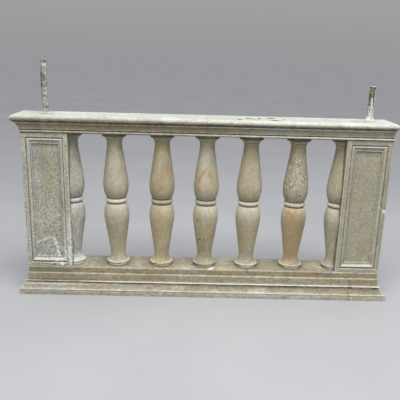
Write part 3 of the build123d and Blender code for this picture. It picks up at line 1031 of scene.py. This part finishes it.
def tone_baluster(shape, ring=0.6, top=0.5, warm=0.0, foot=0.2, face=0.25):
    """Greener, sheltered stone at the top; painted shade on the cap, under the step, round the ring,
    under the upper vase and at the foot and the disc's sides; painted highlights on the ring, the
    lower vase's top and the foot's rim.
    """
    cap = bed_level - upper_disc
    step = cap - step_drop
    disc_top = base_level + lower_disc
    rim = disc_top - rim_height
    groove = rim - groove_height
    contact = base_level + contact_height
    quirk = quirk_top - HAIR
    shape.stains_and_shade["warm"] += warm
    shape.levels("green", [(0.68, 0), (0.78, 0.15)])
    # Painted shade on the lower disc where it turns away from the front.
    sideways = np.interp(-shape.normals()[:, 1], (-0.3, 0, 0.6, 0.9), (0, 1, 1, 0))
    sideways = sideways * (shape.points[:, 2] < groove)
    shape.stains_and_shade["shade"] -= 0.9 * sideways
    shape.stains_and_shade["dark"] += 0.4 * sideways
    # Painted shadow where the foot meets the ledge and in the groove under the rim.
    shape.levels("dark", [
        (base_level, 0.6), (contact, 0.1), (contact + HAIR, 0),
        (groove - HAIR, 0), (groove, 0.15), (rim, 0.15), (rim + HAIR, 0),
    ])
    shape.levels("pale", [(disc_top, 0.25), (disc_top + 25 * MM, 0.15), (disc_top + 50 * MM, 0)])
    shape.levels("grit", [(disc_top, 0.5), (disc_top + 60 * MM, 0.2), (disc_top + 110 * MM, 0)])
    # Painted light and shade up the baluster: shadow at the foot, by the ring, under the step and on the
    # cap; highlights on the rim, the ring and the lower vase's top.
    shape.levels("shade", [
        (base_level, -1), (contact, -0.5), (contact + HAIR, face - 0.1), (groove - HAIR, face + 0.1),
        (groove, -0.5), (rim, -0.5), (rim + HAIR, foot + 0.5), (disc_top + HAIR, foot + 0.5),
        (disc_top + 2 * MM, foot), (disc_top + 8 * MM, 0.1),
        (disc_top + 60 * MM, 0), (ring_level - 170 * MM, -0.1), (ring_level - 90 * MM, 0),
        (ring_level - 45 * MM, top / 2), (ring_level - 24 * MM, top), (ring_level - quirk - HAIR, top),
        (ring_level - quirk, -0.6), (ring_level - ring_half, -0.6), (ring_level - ring_half + HAIR, ring),
        (ring_level + ring_half - HAIR, ring), (ring_level + ring_half, -0.6), (ring_level + quirk, -0.6),
        (ring_level + quirk + HAIR, -0.4), (ring_level + 60 * MM, -0.1), (ring_level + 90 * MM, 0),
        (0.70, 0), (0.78, -0.05), (step - 3 * MM, -0.05), (step - 2 * MM, -1.2), (step, -1.2),
        (step + HAIR, 0.2), (cap, 0.2), (cap + HAIR, -1), (bed_level, -1),
    ])


def mark_baluster_1(shape):
    """It leans: its head is nearer the pier than its foot."""
    shape.points[:, 0] += 6 * MM * (ring_level - shape.points[:, 2]) / half_rise
    shape.marks("shade", (-458, 740, 120, 180, 0.4), (-458, 560, 150, 160, 0.15))
    shape.marks("warm", (-458, 560, 150, 200, -0.5))
    shape.marks("ochre", (-400, 300, 30, 200, 0.2), (-450, 150, 110, 20, 0.3))
    shape.trace("pale", [(-460, 690), (-432, 692)], 3, 0.6)


def mark_baluster_2(shape):
    """Ochre streaks down its upper vase and ochre patches below."""
    shape.marks(
        "ochre", (-228, 780, 90, 50, 0.6), (-192, 668, 22, 110, 0.5), (-220, 590, 28, 120, 0.55),
        (-258, 540, 36, 90, 0.35), (-252, 413, 44, 90, 0.45), (-225, 330, 70, 180, 0.2),
        (-225, 178, 90, 30, 0.3),
    )
    shape.marks("shade", (-225, 760, 100, 80, 0.3), (-197, 452, 60, 40, 0.2), (-225, 250, 120, 100, 0.2))
    shape.marks("warm", (-220, 685, 30, 50, -1.6), (-197, 452, 60, 40, -0.9))
    shape.marks("green", (-215, 220, 90, 60, 0.4))
    shape.marks("pale", (-216, 175, 80, 24, 0.3))
    shape.trace("pale", [(-272, 431), (-256, 428)], 3, 0.6)


def mark_baluster_3(shape):
    """A curved crack over its upper vase and dark scratches on the lower one."""
    shape.marks("ochre", (-2, 752, 30, 40, 0.4), (-40, 600, 26, 60, 0.5), (12, 630, 26, 36, 0.6))
    shape.marks("green", (28, 700, 40, 90, 0.6))
    shape.marks("shade", (0, 720, 120, 240, 0.4))
    crack = [(-44, 592), (-30, 622), (-12, 650), (3, 662), (14, 648), (22, 626), (30, 600)]
    shape.trace("ochre", crack, 7, 0.4)
    shape.trace("dark", crack, 3, 0.57, 1)
    shape.marks("shade", (-3, 447, 60, 50, 0.1), (3, 235, 100, 90, -0.3))
    shape.marks("warm", (-3, 447, 60, 50, -0.8))
    shape.marks("ochre", (-42, 420, 34, 90, 0.35), (22, 360, 40, 110, 0.4), (-20, 290, 80, 60, 0.45))
    shape.marks("dark", (-44, 400, 30, 110, 0.35), (-24, 290, 70, 60, 0.2), (-50, 152, 30, 16, 0.4))
    shape.trace("dark", [(-48, 304), (-32, 290), (-8, 281), (12, 288)], 8, 0.42)
    shape.trace("dark", [(-44, 442), (-38, 420), (-42, 392)], 5, 0.25)


def mark_baluster_4(shape):
    """Almost clean, with a little ochre and green under its cap."""
    shape.marks("ochre", (216, 748, 40, 40, 0.3))
    shape.marks("shade", (225, 745, 90, 70, 0.2))
    shape.marks("green", (222, 720, 80, 60, 0.3))


def mark_baluster_5(shape):
    """Pitted all over its upper vase, rust-stained below."""
    pitted = np.interp(shape.points[:, 2], (0.48, 0.50, 0.72, 0.78), (0, 1, 1, 0))
    hole = np.clip(-0.3 - noise(shape.points, 10 * MM, seed=51), 0, 0.4)
    shape.push(-4 * MM * hole * pitted)
    shape.levels("grit", [(0.47, -0.3), (0.49, 0.7), (0.70, 0.7), (0.76, 0.4), (0.80, 0.2)])
    shape.levels("pale", [(0.47, 0), (0.49, 0.3), (0.74, 0.27), (0.78, 0)])
    shape.levels("dark", [(0.47, 0), (0.49, 0.1), (0.74, 0.1), (0.78, 0)])
    shape.levels("warm", [(0.47, 0), (0.49, -0.5), (0.7, -0.5), (0.8, 0)])
    shape.marks("shade", (455, 560, 150, 160, 0.15), (455, 330, 140, 280, -0.2))
    shape.marks(
        "ochre", (430, 440, 100, 90, 0.9), (455, 370, 120, 160, 0.45), (452, 255, 110, 130, 0.5),
        (450, 205, 100, 110, 0.65),
    )
    shape.marks("dark", (412, 405, 50, 80, 0.15))
    shape.marks("green", (490, 380, 40, 130, 0.5))
    shape.trace("pale", [(439, 702), (467, 717)], 3, 0.35)


def mark_half_left(shape):
    """As rough and pale low down as the pier beside it."""
    shape.stains_and_shade["grit"] += 0.5
    shape.stains_and_shade["shade"] += 0.08
    shape.levels("pale", [(base_level, 0.45), (0.2, 0.4), (0.26, 0.25), (0.44, 0.2), (0.5, 0.1)])
    shape.levels("warm", [(ring_level - 40 * MM, -0.6), (ring_level, 0)])
    shape.levels("green", [(0.60, 0), (0.70, 0.35)])
    shape.marks("ochre", (-640, 430, 34, 50, 0.6), (-648, 620, 30, 60, 0.25))


def mark_half_right(shape):
    shape.marks("ochre", (625, 470, 30, 20, 0.3))


BALUSTERS = {
    "baluster_1": (mark_baluster_1, baluster_stone, dict(ring=0.7, warm=-0.1, foot=0.7, face=1.1)),
    "baluster_2": (mark_baluster_2, baluster_stone, dict(ring=0.0, top=0.2, warm=0.35, foot=0.4, face=0.6)),
    "baluster_3": (mark_baluster_3, baluster_stone, dict(ring=0.15, warm=0.1, foot=0.0, face=0.0)),
    "baluster_4": (mark_baluster_4, baluster_stone, dict(ring=0.6, top=0.7, foot=0.55, face=0.65)),
    "baluster_5": (
        mark_baluster_5, pitted_baluster_stone, dict(ring=0.65, top=0.7, warm=0.2, foot=0.3, face=0.6),
    ),
    "half_baluster_left": (mark_half_left, grey_baluster_stone, dict(ring=0.5, warm=-0.5, foot=0.5)),
    "half_baluster_right": (mark_half_right, baluster_stone, dict(ring=0.5, warm=-0.1)),
}
HALF_SIDES = {"half_baluster_left": -1, "half_baluster_right": 1}
turned = refine(baluster_outline(), rounding=2.5 * MM, spacing=4.5 * MM)
for number, (name, (add_marks, own_stone, tones)) in enumerate(BALUSTERS.items()):
    way = HALF_SIDES.get(name, 0)
    if way:
        shape = lathe(*turned, way * (inner_half + half_inset), half_segments, -way * half_inset)
    else:
        shape = lathe(*turned, middle_x(name), whole_segments)
    add_marks(shape)
    shape.weather(seed=300, number=number, chips=1.6 * MM)
    tone_baluster(shape, **tones)
    if way:
        # Painted shadow down the half baluster where it meets the pier.
        low, high = sorted((way, way * (inner_half - 2 * MM)))
        shape.band("dark", 0, low, high, 0.7, 2 * MM)
    shape.build("stone_" + name, own_stone, "baluster_stone", name)


# ---- coping ----------------------------------------------------------------------------------
bed_height, bed_reach = 5 * MM, 1.5 * MM
fillet_height, coping_quirk_height = 8 * MM, 4 * MM
groove_depth = 3 * MM
hollow_height, hollow_sag = 28 * MM, 3 * MM
neck_height, neck_step = 7 * MM, 2 * MM
fillet_level = bed_level + bed_height
quirk_level = fillet_level + fillet_height
hollow_level = quirk_level + coping_quirk_height
neck_level = hollow_level + hollow_height
nose_level = neck_level + neck_height
FRONT = dict(fillet=9, hollow=5.5, neck=13, nose=23)
LEFT = dict(fillet=11, hollow=8, neck=21, nose=42)
RIGHT = dict(fillet=4, hollow=2.5, neck=6, nose=12)


def coping_side(reach):
    """The coping's outline on one side, as reach and level."""
    fillet, foot, neck, nose = (reach[key] * MM for key in ("fillet", "hollow", "neck", "nose"))
    radius = (top_level - nose_level) / 2
    start = nose - radius
    head = neck - neck_step
    points = uprights(
        (bed_reach, bed_level, fillet_level), (fillet, fillet_level, quirk_level),
        (foot - groove_depth, quirk_level, hollow_level),
    )
    for t in np.linspace(0, 1, 7):
        across = foot + (head - foot) * t - 4 * hollow_sag * t * (1 - t)
        points.append((across, hollow_level + hollow_height * t))
    points += [(neck, neck_level), (neck, nose_level), (start + 0.35 * radius, nose_level + 0.4 * MM)]
    for a in np.radians(np.linspace(-65, 90, 13)):
        points.append((start + radius * math.cos(a), nose_level + radius + radius * math.sin(a)))
    return points


def coping_outline():
    """Reach at the front and back, level, and reach at the left and the right end."""
    front, left, right = (coping_side(reach) for reach in (FRONT, LEFT, RIGHT))
    return [(f[0], f[1], l[0], r[0]) for f, l, r in zip(front, left, right)]


def tone_coping(shape):
    """Paler on top, dark olive below the nose, partly a stain and partly painted shade, and the fillets
    painted light between grooves painted dark with shadow.
    """
    # Painted light and shade: shadow in the grooves and under the nose, light on the fillet.
    shape.levels("shade", [
        (fillet_level, -1), (fillet_level + HAIR, 0.2), (quirk_level, 0.2), (quirk_level + HAIR, -1),
        (neck_level - HAIR, -0.95), (neck_level, -0.5), (nose_level - 2 * MM, -0.6), (nose_level, -1.25),
        (nose_level + 12 * MM, -1.15), (nose_level + 23 * MM, 0),
    ])
    x, z = shape.points[:, 0], shape.points[:, 2]
    facing_up = np.clip(shape.normals()[:, 2], 0, 1) ** 4
    on_top = np.interp(x, (-0.8, -0.2, 0.2, 0.8), (0.05, 0.0, -0.1, 0.1))
    on_front = np.interp(x, (-0.9, -0.3, 0.3, 0.8), (-0.25, -0.4, 0.3, 0.3))
    shape.stains_and_shade["shade"] += facing_up * on_top + (1 - facing_up) * on_front
    shape.stains_and_shade["dark"] += 0.05 * facing_up
    shape.stains_and_shade["pale"] += 0.2 * facing_up
    # Painted shadow in the grooves and under the nose, with dirt under the nose.
    shape.levels("dark", [
        (fillet_level - HAIR, 0.7), (fillet_level, 0), (quirk_level, 0), (quirk_level + HAIR, 0.8),
        (hollow_level, 0.8), (hollow_level + HAIR, 0), (neck_level - 2 * MM, 0), (neck_level - HAIR, 0.6),
        (neck_level, 0), (nose_level - 2 * MM, 0), (nose_level - HAIR, 0.8), (nose_level + 4 * MM, 0.6),
        (nose_level + 12 * MM, 0.42), (nose_level + 16 * MM, 0),
    ])
    on_fillet = (z > fillet_level) & (z < quirk_level)
    shape.stains_and_shade["shade"] += on_fillet * np.interp(x, (-0.9, -0.3, 0.8), (-0.6, -0.5, 0.1))
    shape.stains_and_shade["warm"] += 0.5 * on_fillet


def mark_coping_left(shape):
    """Ochre and dirt under the nose, and a cleaner stretch of it near the middle."""
    shape.marks(
        "ochre", (-716, 856, 150, 26, 0.4), (-557, 852, 40, 22, 0.7), (-250, 900, 40, 30, 0.2),
        (-120, 900, 30, 30, 0.15),
    )
    shape.marks("dark", (-700, 852, 200, 24, 0.25), (-235, 876, 110, 14, 0.3))
    shape.marks("shade", (-183, 900, 120, 40, 0.35))
    shape.marks("warm", (-183, 900, 120, 40, -0.3))


def stain_top(shape, kind, *patches):
    """Patches on the coping's top: x, y, half-length, half-width and reach down in mm, and a strength."""
    for x, y, *size, strength in patches:
        shape.stain(kind, (x * MM, y * MM, top_level), [extent * MM for extent in size], strength)


SCRATCHES = (
    (120, -52, 9, 0.7), (153, -51, 11, 1.1), (192, -9, 11, 1.3), (213, -25, 16, 0.75), (252, 0, 11, 1.1),
    (308, 18, 24, 1.3), (320, -58, 24, 1.3), (368, -22, 8, 1.1), (408, 12, 30, 0.7),
)


def mark_coping_right(shape):
    """Long dark scratches on the top, and rust round the pipe."""
    shape.marks("green", (350, 850, 1100, 44, 0.35))
    shape.marks("dark", (10, 884, 70, 22, 0.35))
    stain_top(shape, "dark", *((x, y, length, 14, 9, strength) for x, y, length, strength in SCRATCHES))
    stain_top(shape, "pale", (240, -45, 190, 26, 9, 0.2))
    stain_top(shape, "ochre", (728, -20, 34, 46, 12, 0.6))
    stain_top(shape, "dark", (735, -45, 20, 24, 12, 0.35), (768, -26, 5, 12, 12, 0.8))


coping_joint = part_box("coping_left")[1].x
COPING_STONES = (
    ("coping_left", coping_outline(), None, coping_joint, mark_coping_left),
    ("coping_right", coping_outline(), coping_joint, None, mark_coping_right),
)
lay_course(
    COPING_STONES, seed=400, chips=1.5 * MM, tone=tone_coping, material=coping_stone,
    slot="coping_stone", joint=coping_joint_rounding,
)


# ---- iron pipes and their mortar -------------------------------------------------------------
pipe_radius, pipe_wall, bore_depth = 16.5 * MM, 3.5 * MM, 60 * MM
skirt_radius, lump_radius = 31 * MM, 21 * MM
pipe_segments, mound_segments = 40, 64
MOUND_HEIGHTS = {"left": 9 * MM, "right": 24 * MM}
# Where the pale crust thins out upwards, from one place to another in millimetres below the
# pipe's end, and how much less of it there is from there up.
CLEANER = {"left": (130, 120, -0.2), "right": (112, 104, -0.25)}
# Smears down the front: kind, place across the pipe, start and end below the pipe's end and
# half a width, all in millimetres, and a strength.
SMEARS = {
    "left": (
        ("dark", -14, 0, 215, 6, 0.9), ("dark", 5, 0, 14, 6, 0.7), ("pale", 7, 14, 26, 5, 0.9),
        ("dark", 6, 28, 36, 6, 0.9), ("ochre", 3, 62, 96, 12, 0.7), ("dark", 2, 74, 90, 8, 0.5),
        ("pale", -12, 128, 150, 4, 1.0), ("dark", -8, 104, 124, 7, 0.6), ("dark", 6, 150, 240, 20, 0.04),
    ),
    "right": (
        ("pale", 0, -4, 4, 30, 1.4), ("dark", 0, 5, 12, 30, 0.8), ("dark", -12, 5, 115, 5, 0.8),
        ("dark", 6, 8, 104, 4, 0.8), ("dark", -3, 30, 56, 6, 0.5), ("ochre", -4, 8, 52, 9, 0.9),
        # The pale streak 13 mm right of the middle is a painted highlight down the pipe's right edge.
        ("pale", 13, 2, 110, 3, 1.2), ("pale", -2, 56, 100, 3, 1.4), ("pale", 0, 112, 160, 20, 0.35),
    ),
}


def pipe(node, cleaner, smears):
    """A rough pipe with a hollow, uneven end."""
    low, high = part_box(node)
    place = middle_x(node)
    bore = pipe_radius - pipe_wall
    section = [
        (bore, low.z),
        (pipe_radius, low.z),
        (pipe_radius, high.z),
        (bore, high.z),
        (bore, high.z - bore_depth),
    ]
    shape = lathe(*refine(section, rounding=0.8 * MM, spacing=4 * MM), place, pipe_segments)
    crust = np.interp(shape.points[:, 2], (low.z + 25 * MM, low.z + 90 * MM), (1, 0))
    swell = 1 + 0.16 * crust * (0.5 + 0.5 * noise(shape.points, 12 * MM, seed=7))
    shape.points[:, 0] = place + (shape.points[:, 0] - place) * swell
    shape.points[:, 1] *= swell
    shape.levels("pale", [(low.z + 60 * MM, 0.5), (low.z + 90 * MM, 0.34), (high.z, 0.28)])
    shape.weather(seed=500, wave=1.2 * MM, grain=0.5 * MM, chips=2.5 * MM)
    start, end, less = cleaner
    shape.levels("pale", [(high.z - start * MM, 0), (high.z - end * MM, less)])
    for kind, across, start, end, width, strength in smears:
        middle, half = (start + end) / 2 * MM, (end - start) / 2 * MM
        centre = (place + across * MM, -pipe_radius, high.z - middle)
        shape.stain(kind, centre, (width * MM, 30 * MM, half), strength)
    return shape


def mound(node, place, height):
    """A lump of mortar against a pipe's foot on a thin skirt, left as it was thrown."""
    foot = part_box(node)[0].z
    section = [
        (skirt_radius, foot),
        (skirt_radius - 1 * MM, foot + 2 * MM),
        (lump_radius + 3 * MM, foot + 4 * MM),
        (lump_radius, foot + min(height / 2, 9 * MM)),
        (pipe_radius, foot + height),
    ]
    shape = lathe(*refine(section, rounding=1 * MM, spacing=3 * MM), place, mound_segments)
    lumps = noise(shape.points, 20 * MM, seed=11) + 0.5 * noise(shape.points, 8 * MM, seed=12)
    away = shape.points[:, :2] - (place, 0)
    reach = np.maximum(np.linalg.norm(away, axis=1), 1 * MM)
    moved = np.where(reach > pipe_radius * 0.95, reach + 4 * MM * (lumps - 0.3), reach)
    moved = np.clip(moved, np.minimum(reach, pipe_radius * 0.9), skirt_radius)
    shape.points[:, :2] = (place, 0) + away * (moved / reach)[:, None]
    shape.levels("pale", [(foot + 5 * MM, 0), (foot + 9 * MM, 0.8)])
    shape.weather(seed=600, wave=1 * MM, grain=1 * MM)
    return shape


for side_name, height in MOUND_HEIGHTS.items():
    node, collar = "pipe_" + side_name, "pipe_mortar_" + side_name
    shape = pipe(node, CLEANER[side_name], SMEARS[side_name])
    shape.build("iron_pipe_" + side_name, rusty_iron, "rusty_iron", node)
    shape = mound(collar, middle_x(node), height)
    shape.build("mortar_mound_" + side_name, pale_mortar, "mortar", collar)


# ---- floor, light and camera -----------------------------------------------------------------
floor_radius = 60
horizon_glow, zenith_glow = 0.325, 0.74


def floor():
    mesh = bpy.data.meshes.new("floor")
    turn = np.linspace(0, 2 * math.pi, 96, endpoint=False)
    rim = [(floor_radius * math.cos(a), floor_radius * math.sin(a), 0) for a in turn]
    mesh.from_pydata(rim, [], [list(range(len(rim)))])
    n = Nodes("floor", rgb(184, 185, 190))
    n.paint(n.limit(n.noise(0.8, 3, 0.5), 0.3, 0.7), rgb(190, 191, 195))
    mesh.materials.append(n.finish(0.9, n.noise(0.02, 2, 0.5), 0.1 * MM))
    add_object("floor", mesh)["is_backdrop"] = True


def sky():
    """Soft light from all round that is brightest overhead, as under a studio's ceiling."""
    world = bpy.data.worlds.new("world")
    world.use_nodes = True
    tree = world.node_tree
    place = tree.nodes.new("ShaderNodeTexCoord")
    parts = tree.nodes.new("ShaderNodeSeparateXYZ")
    tree.links.new(place.outputs["Generated"], parts.inputs[0])
    rise = tree.nodes.new("ShaderNodeMapRange")
    tree.links.new(parts.outputs["Z"], rise.inputs["Value"])
    rise.inputs["To Min"].default_value = horizon_glow
    rise.inputs["To Max"].default_value = zenith_glow
    background = tree.nodes["Background"]
    background.inputs["Color"].default_value = (0.97, 0.985, 1, 1)
    tree.links.new(rise.outputs[0], background.inputs["Strength"])
    bpy.context.scene.world = world


def area_light(name, place, target, size, power, colour):
    data = bpy.data.lights.new(name, "AREA")
    data.shape = "RECTANGLE"
    data.size, data.size_y = size
    data.energy = power
    data.color = colour
    lamp = add_object(name, data)
    lamp.location = place
    lamp.rotation_mode = "QUATERNION"
    lamp.rotation_quaternion = (Vector(target) - Vector(place)).to_track_quat("-Z", "Y")


floor()
sky()
area_light(
    "key", place=(0.3, -1.6, 4.0), target=(0, 0, 0.5), size=(3.2, 2.2), power=138, colour=(1, 0.99, 0.96),
)
bpy.context.scene.view_settings.view_transform = "Standard"

camera_place = (-0.0685, -2.6446, 1.2380)
camera_yaw, camera_pitch, camera_roll = (math.radians(a) for a in (0.86, 15.85, 1.57))
camera_lens = 48.4


def camera():
    """The photo's camera, solved from its edges: yaw to the right, pitch down, roll."""
    data = bpy.data.cameras.new("camera")
    data.lens = camera_lens
    data.sensor_width = 36
    eye = add_object("camera", data)
    bpy.context.scene.camera = eye
    forward = Vector((
        math.sin(camera_yaw) * math.cos(camera_pitch),
        math.cos(camera_yaw) * math.cos(camera_pitch),
        -math.sin(camera_pitch),
    ))
    level = Vector((math.cos(camera_yaw), -math.sin(camera_yaw), 0))
    upright = level.cross(forward)
    right = math.cos(camera_roll) * level + math.sin(camera_roll) * upright
    up = -math.sin(camera_roll) * level + math.cos(camera_roll) * upright
    turned = Matrix((right, up, -forward)).transposed().to_4x4()
    eye.matrix_world = Matrix.Translation(camera_place) @ turned


camera()

low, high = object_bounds()
